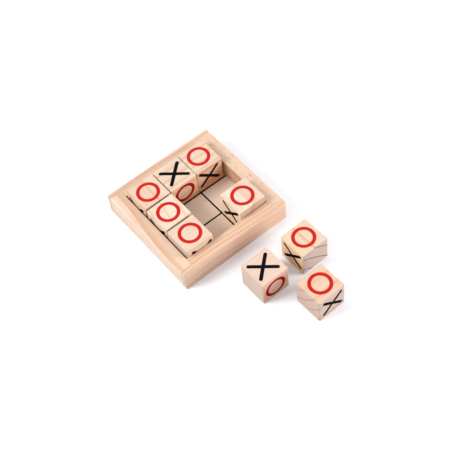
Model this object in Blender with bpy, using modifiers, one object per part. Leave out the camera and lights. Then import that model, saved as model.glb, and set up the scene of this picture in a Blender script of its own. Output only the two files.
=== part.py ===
"""Tic tac toe set: a square wooden tray with a thin base board, and nine wooden cubes.

Frame: metres, +Z up. The origin is on the underside, at the centre of the tray.
+X points to the right rail and +Y to the far rail, so a viewer stands on the -Y side.

Every size follows from the cube: the tray holds three rows of three cubes with a little play.
The far and near rails run the full length of the tray. A tongue at each of their ends covers the
square end of a side rail, which makes a rabbeted corner. The base board lies in a rabbet that runs
round the underside of the rails. Six cubes stand in the tray and three lie on the table in front.
"""

import math

import bpy

# Driving dimensions, in metres
CUBE = 0.0306
CELL_PLAY = 0.0017
RAIL_WIDTH = 0.0132
RAIL_HEIGHT = 0.0243
TONGUE = 0.0052
BOARD_THICKNESS = 0.002
BOARD_LEDGE = 0.005
GAP = 0.0003

# Edge rounding, in metres
CUBE_EASE = 0.0006
RAIL_EASE = 0.0004
EASE_SEGMENTS = 2

# Worked out from the driving dimensions
CELL = CUBE + CELL_PLAY
POCKET = 1.5 * CELL
OUTER = POCKET + RAIL_WIDTH
TONGUE_FACE = OUTER - TONGUE
RABBET_WALL = POCKET + BOARD_LEDGE
RABBET_TOP = BOARD_THICKNESS + GAP
BOARD_SIDE = 2 * (RABBET_WALL - GAP)
CUBE_ON_BOARD = BOARD_THICKNESS + GAP + CUBE / 2
CUBE_ON_TABLE = CUBE / 2
CUTTER_MARGIN = 0.002

# Cubes in the tray: centre in metres, and turn about Z in degrees
TRAY_CUBES = {
    "cube_far_left": (-0.0317, 0.0325, -0.1),
    "cube_far_middle": (-0.00005, 0.03235, 0.0),
    "cube_far_right": (0.0312, 0.03215, -1.1),
    "cube_middle_left": (-0.0312, -0.00015, 0.8),
    "cube_near_left": (-0.0315, -0.0328, -0.1),
    "cube_near_right": (0.03255, -0.0325, 0.6),
}

# Cubes on the table in front of the near rail, given the same way
TABLE_CUBES = {
    "cube_table_left": (-0.0026, -0.10645, 0.2),
    "cube_table_right": (0.0454, -0.1068, 1.6),
    "cube_table_front": (0.0232, -0.154, 1.4),
}

# Base colours, linear RGB
RAIL_COLOUR = (0.89, 0.66, 0.49)
BOARD_COLOUR = (0.53, 0.41, 0.31)
CUBE_COLOUR = (0.95, 0.75, 0.58)


def clear_scene():
    for obj in list(bpy.data.objects):
        bpy.data.objects.remove(obj, do_unlink=True)


def new_collection(name):
    made = bpy.data.collections.new(name)
    bpy.context.scene.collection.children.link(made)
    return made


def wood_material(name, colour):
    material = bpy.data.materials.new(name)
    material.use_nodes = True
    shader = material.node_tree.nodes["Principled BSDF"]
    shader.inputs["Base Color"].default_value = (*colour, 1.0)
    shader.inputs["Roughness"].default_value = 0.65
    shader.inputs["Metallic"].default_value = 0.0
    return material


def add_box(name, low, high, collection):
    """A box between two corners, with its origin at its own centre."""
    size = [b - a for a, b in zip(low, high)]
    centre = [(a + b) / 2 for a, b in zip(low, high)]
    bpy.ops.mesh.primitive_cube_add(size=1)
    box = bpy.context.active_object
    box.name = name
    box.scale = size
    bpy.ops.object.transform_apply(location=False, rotation=False, scale=True)
    box.location = centre
    for old in list(box.users_collection):
        old.objects.unlink(box)
    collection.objects.link(box)
    return box


def round_edges(box, width, along="XYZ"):
    """Rounds the box edges that run along the given axes."""
    mesh = box.data
    weights = mesh.attributes.new("bevel_weight_edge", "FLOAT", "EDGE")
    for edge, weight in zip(mesh.edges, weights.data):
        start, end = (mesh.vertices[i].co for i in edge.vertices)
        run = [abs(x) for x in end - start]
        weight.value = float("XYZ"[run.index(max(run))] in along)
    bevel = box.modifiers.new("rounded_edges", "BEVEL")
    bevel.width = width
    bevel.segments = EASE_SEGMENTS
    bevel.limit_method = "WEIGHT"


def cut(piece, name, low, high):
    """Takes the space between two corners out of the piece."""
    cutter = add_box(f"{piece.name}_{name}_cutter", low, high, cutters)
    cutter.hide_render = True
    cutter.display_type = "WIRE"
    boolean = piece.modifiers.new(name, "BOOLEAN")
    boolean.operation = "DIFFERENCE"
    boolean.solver = "EXACT"
    boolean.object = cutter


def signed_box(side, low, high):
    """The corners of a box given for the +Y side, moved to the -Y side when side is -1."""
    ends = sorted((side * low[1], side * high[1]))
    return (low[0], ends[0], low[2]), (high[0], ends[1], high[2])


def end_rail(name, side):
    """The far (+1) or near (-1) rail: full length, with a tongue at each end and a rabbet below."""
    low, high = signed_box(side, (-OUTER, POCKET, 0), (OUTER, OUTER, RAIL_HEIGHT))
    rail = add_box(name, low, high, parts)
    round_edges(rail, RAIL_EASE)
    shoulder = POCKET - GAP
    over = OUTER + CUTTER_MARGIN
    inside = POCKET - CUTTER_MARGIN
    above = RAIL_HEIGHT + CUTTER_MARGIN
    below = -CUTTER_MARGIN
    for notch, span in (("left_notch", (-over, -shoulder)), ("right_notch", (shoulder, over))):
        low, high = signed_box(side, (span[0], inside, below), (span[1], TONGUE_FACE, above))
        cut(rail, notch, low, high)
    low, high = signed_box(side, (-over, inside, below), (over, RABBET_WALL, RABBET_TOP))
    cut(rail, "board_rabbet", low, high)
    return rail


def side_rail(name, side):
    """The right (+1) or left (-1) rail: square ends between the tongues, and a rabbet below."""
    half_length = TONGUE_FACE - GAP
    across = sorted((side * POCKET, side * OUTER))
    low = (across[0], -half_length, 0)
    high = (across[1], half_length, RAIL_HEIGHT)
    rail = add_box(name, low, high, parts)
    round_edges(rail, RAIL_EASE, along="Y")
    across = sorted((side * (POCKET - CUTTER_MARGIN), side * RABBET_WALL))
    end = half_length + CUTTER_MARGIN
    low = (across[0], -end, -CUTTER_MARGIN)
    high = (across[1], end, RABBET_TOP)
    cut(rail, "board_rabbet", low, high)
    return rail


def base_board(name):
    half = BOARD_SIDE / 2
    return add_box(name, (-half, -half, 0), (half, half, BOARD_THICKNESS), parts)


def cube(name, x, y, height, turn):
    """One playing cube, with its origin on the upright line that it lifts along."""
    half = CUBE / 2
    piece = add_box(name, (-half, -half, -half), (half, half, half), parts)
    round_edges(piece, CUBE_EASE)
    piece.location = (x, y, height)
    piece.rotation_euler.z = math.radians(turn)
    return piece


clear_scene()
parts = new_collection("tic_tac_toe_set")
cutters = new_collection("cutters")

tray = bpy.data.objects.new("tray", None)
parts.objects.link(tray)
tray_pieces = {
    end_rail("far_rail", 1): RAIL_COLOUR,
    end_rail("near_rail", -1): RAIL_COLOUR,
    side_rail("right_rail", 1): RAIL_COLOUR,
    side_rail("left_rail", -1): RAIL_COLOUR,
    base_board("base_board"): BOARD_COLOUR,
}
for piece, colour in tray_pieces.items():
    piece.data.materials.append(wood_material(piece.name, colour))
    piece.parent = tray

for places, height in ((TRAY_CUBES, CUBE_ON_BOARD), (TABLE_CUBES, CUBE_ON_TABLE)):
    for cube_name, (x, y, turn) in places.items():
        made = cube(cube_name, x, y, height, turn)
        made.data.materials.append(wood_material(cube_name, CUBE_COLOUR))
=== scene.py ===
"""The looks of the tic tac toe set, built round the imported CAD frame.

The wooden pieces are remade as finer meshes with softened, slightly worn edges, in the places that
the CAD nodes hold. The printed marks are thin films of ink on the wood. All wood is one procedural
pine, cut differently for each piece.
"""

import math

import bmesh
import bpy
from mathutils import Matrix, Vector, noise


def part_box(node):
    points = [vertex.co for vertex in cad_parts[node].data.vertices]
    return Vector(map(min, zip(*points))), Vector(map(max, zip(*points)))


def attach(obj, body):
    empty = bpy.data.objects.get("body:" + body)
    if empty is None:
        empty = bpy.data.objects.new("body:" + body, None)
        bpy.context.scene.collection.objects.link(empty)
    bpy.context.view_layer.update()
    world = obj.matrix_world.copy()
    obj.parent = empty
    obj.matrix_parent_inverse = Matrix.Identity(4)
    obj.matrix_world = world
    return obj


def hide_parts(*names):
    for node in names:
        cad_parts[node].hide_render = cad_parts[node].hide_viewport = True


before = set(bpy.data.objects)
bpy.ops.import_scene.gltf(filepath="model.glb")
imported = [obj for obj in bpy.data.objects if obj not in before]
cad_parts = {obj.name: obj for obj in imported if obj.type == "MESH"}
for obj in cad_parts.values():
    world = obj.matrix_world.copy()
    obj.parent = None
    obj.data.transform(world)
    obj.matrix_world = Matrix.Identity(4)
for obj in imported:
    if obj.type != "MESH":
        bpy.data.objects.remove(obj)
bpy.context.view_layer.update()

MM = 0.001

# ---------------------------------------------------------------- sizes, in metres, from the frame

far_low, far_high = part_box("far_rail")
right_low, right_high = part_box("right_rail")
board_low, board_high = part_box("base_board")
OUTER = far_high.x
POCKET = right_low.x
RAIL_WIDTH = OUTER - POCKET
RAIL_HEIGHT = far_high.z
CAD_GAP = 0.3 * MM  # that part.py leaves between the pieces of the tray
TONGUE_FACE = right_high.y + CAD_GAP
BOARD_TOP = board_high.z
BOARD_SIDE = board_high.x - board_low.x
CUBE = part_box("cube_table_left")[1].z

# Finish of the wood: seams, rounded edges, waves of the faces and wear of the edges
SEAM = 0.05 * MM
RAIL_EASE = 0.4 * MM
CUBE_EASE = 0.6 * MM
BOARD_EASE = 0.15 * MM
RAIL_WAVE = 0.03 * MM
CUBE_WAVE = 0.015 * MM
RAIL_WEAR = 0.06 * MM
CUBE_WEAR = 0.05 * MM
BROAD_PITCH = 90  # waves to the metre
FINE_PITCH = 420

# How closely the faces are cut across, so that they can wave
RAIL_STEP = 3.0 * MM
CUBE_STEP = 2.5 * MM
BOARD_STEP = 6 * MM

# The print stands a little proud of the wood and reaches a little into it
INK_HEIGHT = 0.05 * MM
INK_DEPTH = 0.06 * MM
INK_SHOULDER = 0.15 * MM
INK_SIDE = 0.6 * INK_HEIGHT
RING_OUTER = 11.75 * MM
RING_STROKE = 3.5 * MM
CROSS_HALF = Vector((12.0 * MM, 10.8 * MM))
CROSS_STROKE = 3.6 * MM
LINE_WIDTH = 1.7 * MM
LINE_PLACE = 16.45 * MM
LINE_DRIFT = 0.45 * MM
LINE_MARGIN = 0.1 * MM
RING_POINTS = 120
CROSS_POINTS = 360


# ---------------------------------------------------------------- mesh helpers


def piece_from(bm, name):
    """A linked object from a bmesh, with its normals out and smooth shading across soft edges."""
    bmesh.ops.recalc_face_normals(bm, faces=bm.faces)
    mesh = bpy.data.meshes.new(name)
    bm.to_mesh(mesh)
    bm.free()
    mesh.shade_smooth()
    mesh.set_sharp_from_angle(angle=math.radians(35))
    obj = bpy.data.objects.new(name, mesh)
    bpy.context.scene.collection.objects.link(obj)
    return obj


def slice_evenly(bm, step):
    """Cuts the mesh by planes across each axis, about one step apart, so that it can be worn."""
    low = Vector(min(v.co[i] for v in bm.verts) for i in range(3))
    high = Vector(max(v.co[i] for v in bm.verts) for i in range(3))
    for axis in range(3):
        count = int((high[axis] - low[axis]) / step)
        for k in range(1, count):
            place = Vector()
            place[axis] = low[axis] + (high[axis] - low[axis]) * k / count
            direction = Vector()
            direction[axis] = 1
            everything = bm.verts[:] + bm.edges[:] + bm.faces[:]
            bmesh.ops.bisect_plane(
                bm, geom=everything, dist=1e-6, plane_co=place, plane_no=direction
            )


def wear(bm, seed, face_wave, edge_wear):
    """Moves the surface in and out a little, and takes more off the rounded edges."""
    bm.normal_update()
    shift = Vector((seed * 7.3, seed * 3.1, seed * 5.7))
    moved = []
    for vert in bm.verts:
        broad = noise.noise(vert.co * BROAD_PITCH + shift)
        fine = noise.noise(vert.co * FINE_PITCH + shift)
        flatness = max(abs(c) for c in vert.normal)
        offset = face_wave * broad
        if flatness < 0.98:
            offset -= edge_wear * (0.5 + 0.5 * broad + 0.35 * fine)
        moved.append(vert.co + vert.normal * offset)
    for vert, place in zip(bm.verts, moved):
        vert.co = place


def block(size, radius, segments, step):
    """A box with rounded edges, centred on the origin."""
    bm = bmesh.new()
    bmesh.ops.create_cube(bm, size=1)
    bmesh.ops.scale(bm, vec=size, verts=bm.verts)
    bmesh.ops.bevel(
        bm, geom=bm.edges[:], offset=radius, segments=segments, profile=0.5, affect="EDGES"
    )
    slice_evenly(bm, step)
    return bm


def raise_faces(bm, faces, height):
    """Extrudes faces straight up, or down where the height is below zero."""
    made = bmesh.ops.extrude_face_region(bm, geom=faces)["geom"]
    verts = [v for v in made if isinstance(v, bmesh.types.BMVert)]
    bmesh.ops.translate(bm, vec=(0, 0, height), verts=verts)


def loft(loops, capped):
    """Joins loops of points by quads. It closes the ends, or joins the last loop to the first."""
    bm = bmesh.new()
    rows = [[bm.verts.new(point) for point in loop] for loop in loops]
    count = len(rows[0])
    pairs = list(zip(rows, rows[1:] if capped else rows[1:] + rows[:1]))
    for row, above in pairs:
        for i in range(count):
            j = (i + 1) % count
            bm.faces.new((row[i], row[j], above[j], above[i]))
    if capped:
        bm.faces.new(rows[0][::-1])
        bm.faces.new(rows[-1])
    return bm


# ---------------------------------------------------------------- node trees


class Graph:
    """A node tree and short ways to add to it. A value is a number, a colour or a socket."""

    def __init__(self, tree):
        self.nodes = tree.nodes
        self.link = tree.links.new

    def feed(self, socket, value):
        if isinstance(value, bpy.types.NodeSocket):
            self.link(value, socket)
        else:
            socket.default_value = value

    def math(self, operation, *values):
        node = self.nodes.new("ShaderNodeMath")
        node.operation = operation
        for socket, value in zip(node.inputs, values):
            self.feed(socket, value)
        return node.outputs[0]

    def vector(self, operation, *values):
        node = self.nodes.new("ShaderNodeVectorMath")
        node.operation = operation
        for socket, value in zip(node.inputs, values):
            self.feed(socket, value)
        return node.outputs[0]

    def split(self, vector):
        node = self.nodes.new("ShaderNodeSeparateXYZ")
        self.link(vector, node.inputs[0])
        return node.outputs

    def noise(self, place, scale, detail=2.0, roughness=0.5):
        """Noise with its own scale along each axis."""
        node = self.nodes.new("ShaderNodeTexNoise")
        self.link(self.vector("MULTIPLY", place, scale), node.inputs["Vector"])
        node.inputs["Scale"].default_value = 1.0
        node.inputs["Detail"].default_value = detail
        node.inputs["Roughness"].default_value = roughness
        return node.outputs["Fac"]

    def remap(self, value, low, high, to_low=0.0, to_high=1.0, ease="SMOOTHSTEP"):
        node = self.nodes.new("ShaderNodeMapRange")
        node.interpolation_type = ease
        for name, number in (
            ("Value", value), ("From Min", low), ("From Max", high),
            ("To Min", to_low), ("To Max", to_high),
        ):
            self.feed(node.inputs[name], number)
        return node.outputs["Result"]

    def blend(self, factor, first, second, mode="MIX"):
        node = self.nodes.new("ShaderNodeMix")
        node.data_type = "RGBA"
        node.blend_type = mode
        self.feed(node.inputs["Factor"], factor)
        self.feed(next(i for i in node.inputs if i.name == "A" and i.type == "RGBA"), first)
        self.feed(next(i for i in node.inputs if i.name == "B" and i.type == "RGBA"), second)
        return next(o for o in node.outputs if o.type == "RGBA")

    def shade(self, colour, tone):
        """A colour made darker or paler by a tone round 1."""
        grey = self.nodes.new("ShaderNodeCombineColor")
        for channel in grey.inputs[:3]:
            self.link(tone, channel)
        return self.blend(1.0, colour, grey.outputs[0], "MULTIPLY")

    def ramp(self, value, low, high, low_colour, high_colour):
        node = self.nodes.new("ShaderNodeValToRGB")
        ends = ((low, low_colour), (high, high_colour))
        for element, (position, colour) in zip(node.color_ramp.elements, ends):
            element.position = position
            element.color = (*colour, 1)
        self.link(value, node.inputs["Fac"])
        return node.outputs["Color"]

    def relief(self, shader, height, strength, depth):
        """Fine relief of the surface, by bump."""
        node = self.nodes.new("ShaderNodeBump")
        node.inputs["Strength"].default_value = strength
        node.inputs["Distance"].default_value = depth
        self.link(height, node.inputs["Height"])
        self.link(node.outputs["Normal"], shader.inputs["Normal"])


def new_material(name, specular):
    """A material, its graph and its shader."""
    material = bpy.data.materials.new(name)
    material.use_nodes = True
    shader = material.node_tree.nodes["Principled BSDF"]
    shader.inputs["Specular IOR Level"].default_value = specular
    return material, Graph(material.node_tree), shader


# ---------------------------------------------------------------- pine and ink

# Inputs of the pine group. Lengths are in mm, and fibres run along X
PINE_SOCKETS = (
    ("Place", "NodeSocketVector", (0, 0, 0)),
    ("End", "NodeSocketFloat", 0),
    ("Side", "NodeSocketFloat", 0),
    ("Seed", "NodeSocketFloat", 0),
    ("Pith across", "NodeSocketFloat", 0),
    ("Pith up", "NodeSocketFloat", -60),
    ("Ring width", "NodeSocketFloat", 8),
    ("Ring shift", "NodeSocketFloat", 0),
    ("Lean", "NodeSocketFloat", 0),
    ("Sway", "NodeSocketFloat", 0),
    ("Sway length", "NodeSocketFloat", 120),
    ("Sway place", "NodeSocketFloat", 0),
    ("Waviness", "NodeSocketFloat", 1.0),
    ("Band", "NodeSocketFloat", 0.5),
    ("Hardness", "NodeSocketFloat", 1.5),
    ("Latewood", "NodeSocketFloat", 0.7),
    ("End lines", "NodeSocketFloat", 0.6),
    ("Flecks", "NodeSocketFloat", 0.0),
    ("Side figure", "NodeSocketFloat", 1.0),
    ("Early", "NodeSocketColor", (0.689, 0.475, 0.338, 1)),
    ("Beyond", "NodeSocketColor", (0.689, 0.475, 0.338, 1)),
    ("Late", "NodeSocketColor", (0.593, 0.334, 0.183, 1)),
    ("Blush", "NodeSocketColor", (0.641, 0.410, 0.280, 1)),
    ("Side tint and painted light", "NodeSocketColor", (1, 1, 1, 1)),
    ("End early", "NodeSocketColor", (0.590, 0.395, 0.255, 1)),
    ("End late", "NodeSocketColor", (0.320, 0.178, 0.115, 1)),
)


def ring_phase(graph, source, grain):
    """Distance from the pith, bent along the fibres, and the same in ring widths."""
    along, y, z = (graph.split(source["Place"])[axis] for axis in "XYZ")
    across = graph.math("SUBTRACT", y, source["Pith across"])
    up = graph.math("SUBTRACT", z, source["Pith up"])
    squares = graph.math(
        "ADD", graph.math("MULTIPLY", across, across), graph.math("MULTIPLY", up, up)
    )
    radius = graph.math("SQRT", squares)
    past = graph.math("SUBTRACT", along, source["Sway place"])
    turns = graph.math("DIVIDE", past, source["Sway length"])
    swing = graph.math("SINE", graph.math("MULTIPLY", turns, 2 * math.pi))
    sway = graph.math("MULTIPLY", swing, source["Sway"])
    wave = graph.math("SUBTRACT", grain((0.02, 0.07, 0.07), detail=1.5), 0.5)
    ripple = graph.math("SUBTRACT", grain((0.09, 0.4, 0.4), detail=1.0), 0.5)
    bend = graph.math("MULTIPLY", graph.math("MULTIPLY_ADD", ripple, 0.2, wave), source["Waviness"])
    bend = graph.math("ADD", bend, graph.math("MULTIPLY_ADD", along, source["Lean"], sway))
    bent = graph.math("ADD", radius, bend)
    widths = graph.math("DIVIDE", bent, source["Ring width"])
    return bent, graph.math("ADD", widths, source["Ring shift"])


def growth_ring(graph, source, phase):
    """One ring: pale earlywood that deepens to latewood and stops sharply. Some rings are darker."""
    within = graph.math("FRACT", phase)
    rise = graph.remap(within, graph.math("SUBTRACT", 1.0, source["Band"]), 0.975)
    rise = graph.math("POWER", rise, source["Hardness"])
    ring = graph.math("MULTIPLY", rise, graph.remap(within, 0.965, 1.0, 1.0, 0.0))
    which = graph.nodes.new("ShaderNodeTexWhiteNoise")
    which.noise_dimensions = "1D"
    graph.link(graph.math("FLOOR", phase), which.inputs["W"])
    strength = graph.math("MULTIPLY_ADD", which.outputs["Value"], 0.3, 0.8)
    return ring, graph.math("MULTIPLY", ring, strength)


def ring_bands(graph, source, bent):
    """Thin bands that follow the rings."""
    band = graph.nodes.new("ShaderNodeTexNoise")
    band.noise_dimensions = "1D"
    graph.link(graph.math("MULTIPLY_ADD", bent, 0.9, source["Seed"]), band.inputs["W"])
    band.inputs["Scale"].default_value = 1.0
    band.inputs["Detail"].default_value = 3.0
    return graph.remap(band.outputs["Fac"], 0.35, 0.72)


def long_grain(graph, source, grain, phase, strong_ring, banding):
    """Colour of the faces along the fibres: rings, bands, pinker patches and short resin flecks."""
    unseen = graph.math("SUBTRACT", 1.0, source["Side figure"])
    loss = graph.math("MULTIPLY", unseen, source["Side"])
    figure = graph.math("MULTIPLY", source["Latewood"], graph.math("SUBTRACT", 1.0, loss))
    latewood = graph.math("MULTIPLY", strong_ring, figure)
    patch = graph.remap(grain((0.025, 0.12, 0.12), detail=1.0), 0.38, 0.66)
    pore = grain((0.13, 1.2, 1.2), detail=1.0)
    fleck = graph.math("MULTIPLY", graph.remap(pore, 0.63, 0.69), source["Flecks"])
    colour = graph.blend(graph.remap(phase, -0.02, 0.01), source["Early"], source["Beyond"])
    colour = graph.blend(graph.math("MULTIPLY", patch, 0.6), colour, source["Blush"])
    colour = graph.blend(graph.math("MULTIPLY", banding, 0.4), colour, source["Blush"])
    colour = graph.blend(latewood, colour, source["Late"])
    colour = graph.blend(graph.math("MULTIPLY", fleck, 0.9), colour, source["Late"])
    # Faces that look along Y are multiplied by a tint of their own: partly their wood's colour,
    # partly painted light and shade, paler or darker and warmer as light fell on those faces.
    side_tint_and_painted_light = graph.blend(source["Side"], (1, 1, 1, 1), source["Side tint and painted light"])
    return graph.blend(1.0, colour, side_tint_and_painted_light, "MULTIPLY")


def end_grain(graph, source, strong_ring, banding):
    """Colour of the sawn ends, where the rings show as thin lines."""
    line = graph.math("MULTIPLY", graph.math("POWER", strong_ring, 1.6), source["End lines"])
    faint = graph.math("MULTIPLY", banding, graph.math("MULTIPLY", source["End lines"], 0.2))
    return graph.blend(graph.math("MAXIMUM", line, faint), source["End early"], source["End late"])


def pine_group():
    """The wood itself: growth rings round a pith, fibres along X, and end grain."""
    group = bpy.data.node_groups.new("pine", "ShaderNodeTree")
    for name, kind, default in PINE_SOCKETS:
        socket = group.interface.new_socket(name=name, in_out="INPUT", socket_type=kind)
        socket.default_value = default
    for name, kind in (
        ("Color", "NodeSocketColor"), ("Height", "NodeSocketFloat"), ("Roughness", "NodeSocketFloat"),
    ):
        group.interface.new_socket(name=name, in_out="OUTPUT", socket_type=kind)
    graph = Graph(group)
    source = graph.nodes.new("NodeGroupInput").outputs
    result = graph.nodes.new("NodeGroupOutput").inputs
    far_along = graph.nodes.new("ShaderNodeCombineXYZ")
    graph.feed(far_along.inputs["X"], graph.math("MULTIPLY", source["Seed"], 311.0))
    own_place = graph.vector("ADD", source["Place"], far_along.outputs[0])

    def grain(scale, detail=2.0, roughness=0.5):
        """Noise that differs for each seed, with its own scale along the fibres and across them."""
        return graph.noise(own_place, scale, detail, roughness)

    bent, phase = ring_phase(graph, source, grain)
    ring, strong_ring = growth_ring(graph, source, phase)
    banding = ring_bands(graph, source, bent)
    fibre = grain((0.05, 3.2, 3.2), detail=3.0, roughness=0.6)
    strand = grain((0.03, 0.8, 0.8), detail=2.0)
    grit = grain((3.0, 3.0, 3.0), detail=2.0)

    tones = graph.nodes.new("ShaderNodeMix")
    graph.feed(tones.inputs["Factor"], source["End"])
    graph.feed(tones.inputs["A"], graph.math(
        "ADD", graph.remap(fibre, 0.3, 0.7, -0.03, 0.03), graph.remap(strand, 0.3, 0.7, 0.955, 1.045)
    ))
    graph.feed(tones.inputs["B"], graph.remap(grit, 0.3, 0.7, 0.955, 1.045))
    along_fibres = long_grain(graph, source, grain, phase, strong_ring, banding)
    across_fibres = end_grain(graph, source, strong_ring, banding)
    colour = graph.blend(source["End"], along_fibres, across_fibres)
    graph.feed(result["Color"], graph.shade(colour, tones.outputs[0]))
    height = graph.math("MULTIPLY_ADD", ring, -0.25, fibre)
    graph.feed(result["Height"], graph.math("MULTIPLY_ADD", grit, 0.35, height))
    graph.feed(result["Roughness"], graph.remap(strand, 0.3, 0.7, 0.66, 0.82))
    return group


def ring_shift(wood, edge):
    """The shift that makes a growth ring end at a given point (across, up) of the section."""
    radius = math.hypot(edge[0] - wood["Pith across"], edge[1] - wood["Pith up"])
    return -radius / wood["Ring width"]


def pine_material(name, wood, edge, seed):
    """Pine cut for one piece: wood holds the group's inputs that differ from its defaults.

    The earlywood beyond the ring that ends at the edge point may have a colour of its own.
    """
    material, graph, shader = new_material(name, specular=0.12)
    shader.inputs["IOR"].default_value = 1.45
    place = graph.nodes.new("ShaderNodeTexCoord").outputs
    pine = graph.nodes.new("ShaderNodeGroup")
    pine.node_tree = PINE
    graph.link(graph.vector("MULTIPLY", place["Object"], (1 / MM,) * 3), pine.inputs["Place"])
    facing = graph.split(place["Normal"])
    for axis, socket in (("X", "End"), ("Y", "Side")):
        turned = graph.math("ABSOLUTE", facing[axis])
        graph.link(graph.remap(turned, 0.55, 0.9), pine.inputs[socket])
    pine.inputs["Seed"].default_value = seed
    pine.inputs["Ring shift"].default_value = ring_shift(wood, edge)
    for socket, value in {"Beyond": wood["Early"], **wood}.items():
        pine.inputs[socket].default_value = (*value, 1) if isinstance(value, tuple) else value
    graph.link(pine.outputs["Color"], shader.inputs["Base Color"])
    graph.link(pine.outputs["Roughness"], shader.inputs["Roughness"])
    graph.relief(shader, pine.outputs["Height"], strength=0.25, depth=0.08 * MM)
    return material


def ink_material(name, colour, deep):
    """Printed ink: a thin, even and matt coat that the wood's fibres show through a little."""
    material, graph, shader = new_material(name, specular=0.02)
    place = graph.nodes.new("ShaderNodeTexCoord").outputs["Object"]
    mottle = graph.noise(place, (220, 1400, 1400), detail=3.0)
    graph.link(graph.ramp(mottle, 0.35, 0.6, deep, colour), shader.inputs["Base Color"])
    rough = graph.remap(mottle, 0, 1, 0.70, 0.85, ease="LINEAR")
    graph.link(rough, shader.inputs["Roughness"])
    graph.relief(shader, mottle, strength=0.15, depth=0.03 * MM)
    return material


PINE = pine_group()
RED_INK = ink_material("red_ink", (0.5088, 0.0155, 0.0115), (0.4463, 0.0140, 0.0115))
# Rings printed on cubes' sides get a darker copy of the red: painted shade of the side faces.
PAINTED_SHADE_RED_INK = ink_material("painted_shade_red_ink", (0.3739, 0.0065, 0.0032), (0.3248, 0.0050, 0.0032))
BLACK_INK = ink_material("black_ink", (0.005, 0.005, 0.007), (0.003, 0.003, 0.004))

# ---------------------------------------------------------------- rails


def rail_outline(half_length, shoulder):
    """The rail seen from above. Beyond the shoulder only the tongue goes on."""
    tongue = TONGUE_FACE - POCKET
    if shoulder < half_length:
        side = [(half_length, RAIL_WIDTH), (half_length, tongue + SEAM), (shoulder, tongue + SEAM)]
    else:
        side = [(half_length, RAIL_WIDTH)]
    side.append((shoulder, 0))
    return side + [(-x, y) for x, y in reversed(side)]


def sharp_rail(half_length, shoulder):
    """A rail lying along X, inner face at y = 0 and underside at z = 0, before it is sanded."""
    rabbet = BOARD_SIDE / 2 - POCKET + SEAM
    rabbet_top = BOARD_TOP + SEAM
    bm = bmesh.new()
    corners = [bm.verts.new((x, y, rabbet_top)) for x, y in rail_outline(half_length, shoulder)]
    raise_faces(bm, [bm.faces.new(corners)], RAIL_HEIGHT - rabbet_top)
    bmesh.ops.recalc_face_normals(bm, faces=bm.faces)

    # The foot outside the rabbet goes on down to the table
    everything = bm.verts[:] + bm.edges[:] + bm.faces[:]
    bmesh.ops.bisect_plane(
        bm, geom=everything, dist=1e-6, plane_co=(0, rabbet, 0), plane_no=(0, 1, 0)
    )
    bm.normal_update()
    foot = [f for f in bm.faces if f.normal.z < -0.9 and f.calc_center_median().y > rabbet]
    raise_faces(bm, foot, -rabbet_top)
    bmesh.ops.recalc_face_normals(bm, faces=bm.faces)
    bmesh.ops.dissolve_limit(
        bm, angle_limit=math.radians(1), verts=bm.verts[:], edges=bm.edges[:]
    )
    return bm


def sanded_edges(bm, half_length, has_tongue):
    """Edges of the finished tray that a hand can reach: those were sanded round."""
    chosen = []
    for edge in bm.edges:
        middle = (edge.verts[0].co + edge.verts[1].co) / 2
        run = (edge.verts[1].co - edge.verts[0].co).normalized()
        outer = abs(middle.y - RAIL_WIDTH) < 1e-6 and (abs(run.x) > 0.9 or has_tongue)
        inner_top = abs(middle.y) < 1e-6 and abs(middle.z - RAIL_HEIGHT) < 1e-6
        at_end = has_tongue and abs(abs(middle.x) - half_length) < 1e-6 and abs(run.y) > 0.9
        if outer or inner_top or at_end:
            chosen.append(edge)
    return chosen


def rail_mesh(half_length, shoulder, seed):
    """A rail, sanded and worn. One with no tongue has its shoulder at its end."""
    bm = sharp_rail(half_length, shoulder)
    soft = sanded_edges(bm, half_length, shoulder < half_length)
    bmesh.ops.bevel(bm, geom=soft, offset=RAIL_EASE, segments=4, profile=0.5, affect="EDGES")
    slice_evenly(bm, RAIL_STEP)
    wear(bm, seed, RAIL_WAVE, RAIL_WEAR)
    return bm


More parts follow.
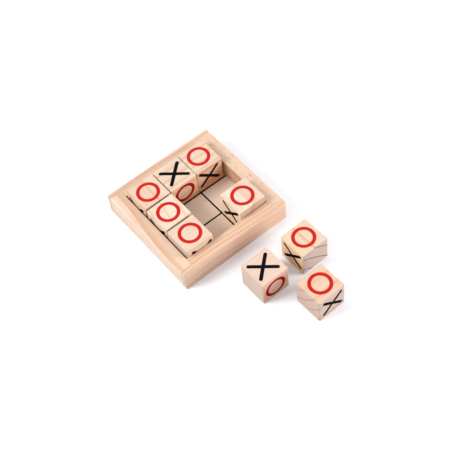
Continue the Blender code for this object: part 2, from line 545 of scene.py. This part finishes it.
# Each rail: a point of its section where a growth ring ends, and its wood
RAIL_WOOD = {
    "far_rail": ((11.6, 24.3), {
        "Pith across": -40, "Pith up": -20, "Ring width": 9.0, "Waviness": 2.2,
        "Band": 0.6, "Hardness": 1.0, "Latewood": 0.85, "Sway": 0.6, "Sway length": 150,
        "Early": (0.691, 0.460, 0.313), "Late": (0.557, 0.291, 0.163), "Blush": (0.654, 0.408, 0.265),
        "End early": (0.600, 0.458, 0.356),
    }),
    "near_rail": ((6.3, 24.3), {
        "Pith across": -60, "Pith up": 50, "Ring width": 4.2, "Waviness": 2.2,
        "Band": 0.45, "Hardness": 1.5, "Latewood": 0.9, "Side figure": 0.4,
        "Lean": 0.012, "Sway": 1.5, "Sway length": 150, "Sway place": -4,
        "Early": (0.635, 0.395, 0.252), "Late": (0.491, 0.225, 0.106), "Blush": (0.619, 0.374, 0.238),
        # The side tint makes its side faces paler: painted light.
        "Side tint and painted light": (1.119, 1.136, 1.200),
        "End early": (0.600, 0.458, 0.356),
    }),
    "left_rail": ((9.9, 24.3), {
        "Pith across": -60, "Pith up": 35, "Ring width": 16.0, "Waviness": 0.8,
        "Band": 0.5, "Hardness": 1.2, "Latewood": 0.95, "Side figure": 0.4,
        "Lean": 0.01, "Sway": 3.3, "Sway length": 180, "Sway place": 11,
        "Early": (0.681, 0.457, 0.307), "Beyond": (0.714, 0.522, 0.386),
        "Late": (0.604, 0.321, 0.173), "Blush": (0.673, 0.432, 0.288),
        "Side tint and painted light": (1.009, 1.024, 1.027),
    }),
    "right_rail": ((6.0, 20.6), {
        "Pith across": 10, "Pith up": -80, "Ring width": 12.0, "Waviness": 1.2,
        "Band": 0.4, "Latewood": 0.4, "Flecks": 1.0,
        "Early": (0.641, 0.429, 0.289), "Late": (0.485, 0.220, 0.122), "Blush": (0.619, 0.396, 0.264),
        # The side tint makes its side faces darker and more orange: painted shade of the inner face,
        # which stands in shadow and in light bounced off wood.
        "Side tint and painted light": (0.900, 0.800, 0.680),
    }),
}

RAIL_TURNS = {"far_rail": 0, "left_rail": 90, "near_rail": 180, "right_rail": -90}


def build_rails():
    for number, (node, turn) in enumerate(RAIL_TURNS.items()):
        if node in ("far_rail", "near_rail"):
            half_length, shoulder = OUTER, POCKET - SEAM
        else:
            half_length = shoulder = TONGUE_FACE - SEAM
        rail = piece_from(rail_mesh(half_length, shoulder, number + 1), "wood_" + node)
        turned = Matrix.Rotation(math.radians(turn), 4, "Z")
        rail.matrix_world = turned @ Matrix.Translation((0, POCKET, 0))
        edge, wood = RAIL_WOOD[node]
        rail.data.materials.append(pine_material(node + "_pine", wood, edge, number + 1))
        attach(rail, "tray")
        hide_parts(node)


# ---------------------------------------------------------------- base board and its grid


def board_material():
    """Thin greyish-tan board: a dull, fine, slightly woven surface with soft mottling."""
    material, graph, shader = new_material("board", specular=0.3)
    place = graph.nodes.new("ShaderNodeTexCoord").outputs["Object"]
    cloud = graph.noise(place, (35, 35, 35))
    warp = graph.noise(place, (160, 1500, 900))
    weft = graph.noise(place, (1500, 160, 900))
    threads = graph.math("ADD", warp, weft)
    tan = graph.ramp(cloud, 0.3, 0.7, (0.748, 0.555, 0.401), (0.823, 0.618, 0.448))
    tone = graph.remap(threads, 0.7, 1.3, 0.95, 1.05, ease="LINEAR")
    graph.link(graph.shade(tan, tone), shader.inputs["Base Color"])
    rough = graph.remap(cloud, 0, 1, 0.6, 0.8, ease="LINEAR")
    graph.link(rough, shader.inputs["Roughness"])
    graph.relief(shader, threads, strength=0.2, depth=0.05 * MM)
    return material


def build_board():
    bm = block((BOARD_SIDE, BOARD_SIDE, BOARD_TOP), BOARD_EASE, 2, BOARD_STEP)
    board = piece_from(bm, "thin_base_board")
    board.location.z = BOARD_TOP / 2
    board.data.materials.append(board_material())
    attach(board, "tray")
    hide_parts("base_board")


def build_grid():
    """Four ruled lines that cross as a hash, one closed film of ink, a little off centre."""
    half = LINE_WIDTH / 2
    end = POCKET - LINE_DRIFT - LINE_MARGIN
    places = [-end, -LINE_PLACE - half, -LINE_PLACE + half, LINE_PLACE - half, LINE_PLACE + half, end]
    bm = bmesh.new()
    verts = {}
    for i in range(5):
        for j in range(5):
            if i % 2 == 0 and j % 2 == 0:
                continue
            corners = ((i, j), (i + 1, j), (i + 1, j + 1), (i, j + 1))
            for a, b in corners:
                if (a, b) not in verts:
                    verts[a, b] = bm.verts.new((places[a], places[b], -INK_DEPTH))
            bm.faces.new([verts[corner] for corner in corners])
    raise_faces(bm, bm.faces[:], INK_DEPTH + INK_HEIGHT)
    grid = piece_from(bm, "printed_grid")
    grid.location = (LINE_DRIFT, 0, BOARD_TOP)
    grid.data.materials.append(BLACK_INK)
    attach(grid, "tray")


# ---------------------------------------------------------------- cubes and their marks


def ring_loops():
    """The printed ring as a band with softened shoulders, lying on z = 0."""
    inner = RING_OUTER - RING_STROKE
    section = (
        (inner, -INK_DEPTH), (inner, INK_SIDE), (inner + INK_SHOULDER, INK_HEIGHT),
        (RING_OUTER - INK_SHOULDER, INK_HEIGHT), (RING_OUTER, INK_SIDE), (RING_OUTER, -INK_DEPTH),
    )
    turns = [2 * math.pi * k / RING_POINTS for k in range(RING_POINTS)]
    return [[Vector((r * math.cos(t), r * math.sin(t), z)) for t in turns] for r, z in section]


def stroke_reach(turn, lean, half_length, half_width):
    """How far a round-ended stroke through the centre reaches in one direction."""
    angle = turn - lean
    along, aside = abs(math.cos(angle)), abs(math.sin(angle))
    straight = half_width / max(aside, 1e-9)
    if straight * along <= half_length:
        return straight
    return half_length * along + math.sqrt(max(half_width**2 - (half_length * aside) ** 2, 0))


def cross_loops():
    """The printed cross, two round-ended strokes made one outline, lying on z = 0."""
    half_width = CROSS_STROKE / 2
    tip = Vector((CROSS_HALF.x - half_width, CROSS_HALF.y - half_width))
    lean = math.atan2(tip.y, tip.x)
    turns = [2 * math.pi * k / CROSS_POINTS for k in range(CROSS_POINTS)]
    reach = [
        max(stroke_reach(t, side * lean, tip.length, half_width) for side in (-1, 1))
        for t in turns
    ]
    loops = []
    for inset, z in ((0, -INK_DEPTH), (0, INK_SIDE), (INK_SHOULDER, INK_HEIGHT)):
        loops.append(
            [
                Vector(((r - inset) * math.cos(t), (r - inset) * math.sin(t), z))
                for t, r in zip(turns, reach)
            ]
        )
    return loops


def mark_piece(kind, name, faces):
    """One mark printed on two opposite faces."""
    both = bmesh.new()
    for face in faces:
        one = loft(ring_loops(), False) if kind == "O" else loft(cross_loops(), True)
        bmesh.ops.transform(one, matrix=face, verts=one.verts)
        flat = bpy.data.meshes.new("one_mark")
        one.to_mesh(flat)
        one.free()
        both.from_mesh(flat)
        bpy.data.meshes.remove(flat)
    return piece_from(both, name)


def printed_faces(first_turn, drift):
    """The two opposite faces that a mark is printed on; the first one's mark is off centre."""
    faces = []
    for turn, (right, up) in ((first_turn, drift), (first_turn + 180, (0, 0))):
        off = Matrix.Translation((right * MM, up * MM, CUBE / 2))
        faces.append(Matrix.Rotation(math.radians(turn), 4, "X") @ off)
    return faces


# Each cube: the mark on its upper and lower faces, the way its grain runs, how far the upper mark
# and the side mark are off centre in mm, a point of its section where a growth ring ends, its wood
# A cube's side tint is partly its wood's colour and partly painted light and shade of the side face
# that is seen.
CUBES = {
    "cube_far_left": ("O", "Y", (-0.4, -0.55), (0.3, -0.8), (0.9, 15.3), {
        "Pith across": 45, "Pith up": -10, "Ring width": 16, "Band": 0.2, "Hardness": 0.8,
        "Latewood": 0.95, "Waviness": 0.7,
        "Early": (0.633, 0.448, 0.318), "Beyond": (0.624, 0.416, 0.281),
        "Late": (0.548, 0.281, 0.142), "Blush": (0.618, 0.392, 0.263),
    }),
    "cube_far_middle": ("X", "X", (0.2, -0.1), (-0.3, 0.3), (5.8, 15.3), {
        "Pith across": 40, "Pith up": -20, "Ring width": 7.3, "Band": 0.65, "Hardness": 1.0,
        "Latewood": 0.85, "Waviness": 0.8,
        "Early": (0.618, 0.447, 0.317), "Beyond": (0.629, 0.477, 0.344),
        "Late": (0.578, 0.314, 0.169), "Blush": (0.621, 0.429, 0.282),
        "Side tint and painted light": (1.093, 0.932, 0.859),
    }),
    "cube_far_right": ("O", "X", (-0.45, 0.85), (-1.0, 0.95), (-7.0, 15.3), {
        "Pith across": 43, "Pith up": -17, "Ring width": 6.1, "Band": 0.28, "Hardness": 0.7,
        "Latewood": 1.0, "Waviness": 0.5,
        "Early": (0.628, 0.446, 0.313), "Late": (0.540, 0.282, 0.145), "Blush": (0.613, 0.426, 0.289),
        "Side tint and painted light": (1.033, 0.810, 0.689),
    }),
    "cube_middle_left": ("O", "Y", (-0.6, 0.2), (0.6, -1.9), (-3.3, 15.3), {
        "Pith across": 40, "Pith up": -15, "Ring width": 11, "Band": 0.16, "Hardness": 0.6,
        "Latewood": 0.95, "Lean": -0.15, "Waviness": 0.5,
        "Early": (0.654, 0.504, 0.369), "Beyond": (0.638, 0.468, 0.337),
        "Late": (0.613, 0.333, 0.159), "Blush": (0.648, 0.474, 0.331),
    }),
    "cube_near_left": ("O", "X", (0.4, -0.1), (1.7, -0.9), (4.0, 15.3), {
        "Pith across": 60, "Pith up": -60, "Ring width": 3, "Band": 0.5, "Latewood": 0.3,
        "Early": (0.649, 0.450, 0.311), "Late": (0.571, 0.315, 0.163), "Blush": (0.621, 0.420, 0.283),
        "End early": (0.558, 0.393, 0.304),
    }),
    "cube_near_right": ("O", "Y", (0.1, -0.15), (0.2, 0.5), (-0.5, 15.3), {
        "Pith across": 50, "Pith up": -10, "Ring width": 26, "Band": 0.5, "Hardness": 1.5,
        "Latewood": 0.9, "Waviness": 0.6,
        "Early": (0.652, 0.467, 0.341), "Beyond": (0.673, 0.526, 0.396),
        "Late": (0.631, 0.378, 0.244), "Blush": (0.639, 0.421, 0.295),
        # Its end grain is darker and browner than the default: painted shade of its near end face,
        # which stands close to the near rail.
        "End early": (0.550, 0.335, 0.205),
        "Side tint and painted light": (1.204, 1.143, 1.015),
    }),
    "cube_table_left": ("X", "X", (-0.8, 0.5), (-0.3, -0.5), (0.0, 8), {
        "Pith across": -75, "Pith up": -27, "Ring width": 2.6, "Latewood": 0.12, "Band": 0.5,
        "End lines": 0.15,
        "Early": (0.633, 0.436, 0.313), "Late": (0.578, 0.346, 0.219), "Blush": (0.622, 0.415, 0.284),
        "Side tint and painted light": (1.044, 0.910, 0.861),
        "End early": (0.595, 0.417, 0.320),
    }),
    "cube_table_right": ("O", "Y", (-0.2, 0.25), (0.2, 0.3), (0.6, 15.3), {
        "Pith across": -90, "Pith up": -124, "Ring width": 13.2, "Band": 0.17, "Hardness": 0.6,
        "Latewood": 1.0, "Waviness": 0.3, "End lines": 1.7,
        "Early": (0.664, 0.468, 0.312), "Beyond": (0.650, 0.456, 0.326),
        "Late": (0.607, 0.299, 0.135), "Blush": (0.659, 0.428, 0.259),
        "Side tint and painted light": (1.156, 1.100, 1.005),
        "End early": (0.548, 0.397, 0.320),
        "End late": (0.230, 0.105, 0.065),
    }),
    "cube_table_front": ("O", "X", (0.2, 0.2), (0.6, -0.2), (3.9, 15.3), {
        "Pith across": 62, "Pith up": 60, "Ring width": 11, "Band": 0.3, "Hardness": 1.0,
        "Latewood": 0.75, "Waviness": 1.2, "End lines": 0.8,
        "Early": (0.646, 0.419, 0.277), "Late": (0.596, 0.287, 0.138), "Blush": (0.634, 0.388, 0.245),
        "Side tint and painted light": (0.803, 0.882, 1.043),
        "End early": (0.590, 0.401, 0.307),
    }),
}


def place_of(node):
    """Centre of a cube's CAD node, and its turn about Z, from the direction of its flat sides."""
    low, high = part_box(node)
    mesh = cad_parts[node].data
    side = max(mesh.polygons, key=lambda p: p.area if p.normal.x > 0.9 else 0)
    return (low + high) / 2, math.atan2(side.normal.y, side.normal.x)


def print_marks(node, upper, place, quarter, top_drift, side_drift):
    """Prints a ring or a cross on a cube's upper and lower faces, and the other one on two sides."""
    quarter_turn = Matrix.Rotation(quarter, 4, "Z")
    # A ring on the sides takes the darker red: painted shade.
    ring_ink = RED_INK if upper == "O" else PAINTED_SHADE_RED_INK
    for kind, ink, slot in (("O", ring_ink, "red_print"), ("X", BLACK_INK, "black_print")):
        if kind == upper:
            faces = [quarter_turn @ face for face in printed_faces(0, top_drift)]
        else:
            faces = printed_faces(90, side_drift)
        word = "rings" if kind == "O" else "crosses"
        short = node.replace("cube_", "")
        mark = mark_piece(kind, f"{short}_{word}", faces)
        mark.matrix_world = place
        mark.data.materials.append(ink)
        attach(mark, node)


def build_cubes():
    for number, (node, (upper, grain, top_drift, side_drift, edge, wood)) in enumerate(CUBES.items()):
        centre, turn = place_of(node)
        quarter = math.pi / 2 if grain == "Y" else 0
        place = Matrix.Translation(centre) @ Matrix.Rotation(turn - quarter, 4, "Z")
        bm = block((CUBE, CUBE, CUBE), CUBE_EASE, 4, CUBE_STEP)
        wear(bm, 20 + number, CUBE_WAVE, CUBE_WEAR)
        body = piece_from(bm, "wood_" + node)
        body.matrix_world = place
        short = node.replace("cube_", "")
        body.data.materials.append(pine_material(short + "_pine", wood, edge, 10 + number))
        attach(body, node)
        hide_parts(node)
        print_marks(node, upper, place, quarter, top_drift, side_drift)


# ---------------------------------------------------------------- stage, light and camera

FLOOR_SIDE = 14
FLOOR_DEPTH = 1.2 * INK_HEIGHT  # just under the print on the cubes' lower faces
FLOOR_BOUNCE = (0.60, 0.60, 0.60, 1)
FLOOR_SEEN = (0.90, 0.85, 0.80, 1)
GLOW_START = 1.0  # distances from the tray's middle
GLOW_FULL = 1.5
GLOW = 0.35
STUDIO_WHITE = (0.91, 1.0, 1.12)


def build_stage():
    """A white floor. Far out it glows a little, since the light of the lamps stops behind them."""
    bpy.ops.mesh.primitive_plane_add(size=FLOOR_SIDE, location=(0, 0, -FLOOR_DEPTH))
    floor = bpy.context.active_object
    floor.name = "floor"
    material, graph, shader = new_material("floor_pale", specular=0.1)
    shader.inputs["Roughness"].default_value = 0.9
    seen = graph.nodes.new("ShaderNodeLightPath").outputs["Is Camera Ray"]
    graph.link(graph.blend(seen, FLOOR_BOUNCE, FLOOR_SEEN), shader.inputs["Base Color"])
    distance = graph.nodes.new("ShaderNodeVectorMath")
    distance.operation = "LENGTH"
    place = graph.nodes.new("ShaderNodeTexCoord")
    graph.link(place.outputs["Object"], distance.inputs[0])
    glow = graph.remap(distance.outputs["Value"], GLOW_START, GLOW_FULL, 0, GLOW, ease="LINEAR")
    graph.link(graph.math("MULTIPLY", glow, seen), shader.inputs["Emission Strength"])
    floor.data.materials.append(material)


def softbox(name, direction, distance, size, energy):
    """A square studio lamp that looks at the tray from a direction."""
    data = bpy.data.lights.new(name, "AREA")
    data.shape = "SQUARE"
    data.size = size
    data.energy = energy
    data.color = STUDIO_WHITE
    lamp = bpy.data.objects.new(name, data)
    bpy.context.scene.collection.objects.link(lamp)
    toward = Vector(direction).normalized()
    lamp.location = toward * distance
    lamp.rotation_euler = toward.to_track_quat("Z", "Y").to_euler()


def build_light():
    """A key from the left, a low fill from the near right, and an even pale studio all round."""
    world = bpy.data.worlds.new("studio")
    bpy.context.scene.world = world
    world.use_nodes = True
    background = world.node_tree.nodes["Background"]
    background.inputs["Color"].default_value = (*STUDIO_WHITE, 1)
    background.inputs["Strength"].default_value = 0.92
    softbox("key", (-0.70, 0.27, 0.70), distance=1.4, size=0.50, energy=15.0)
    softbox("fill", (0.72, -0.62, 0.28), distance=1.6, size=0.7, energy=23.5)


def build_camera():
    """A camera that looks down on the set from the near left, about 55 degrees above the table."""
    data = bpy.data.cameras.new("camera")
    data.sensor_width = 36
    data.lens = 86.17
    data.clip_start = 0.01
    data.clip_end = 20
    camera = bpy.data.objects.new("camera", data)
    bpy.context.scene.collection.objects.link(camera)
    place = Vector((-0.3034, -0.5358, 0.8611))
    view = Vector((0.3000, 0.4841, -0.8220)).normalized()
    right = Vector((0.7752, -0.6258, -0.0856))
    right = (right - view * right.dot(view)).normalized()
    up = right.cross(view)
    turned = Matrix((right, up, -view)).transposed().to_4x4()
    camera.matrix_world = Matrix.Translation(place) @ turned
    bpy.context.scene.camera = camera
    bpy.context.scene.view_settings.view_transform = "Standard"


build_rails()
build_board()
build_grid()
build_cubes()
build_stage()
build_light()
build_camera()
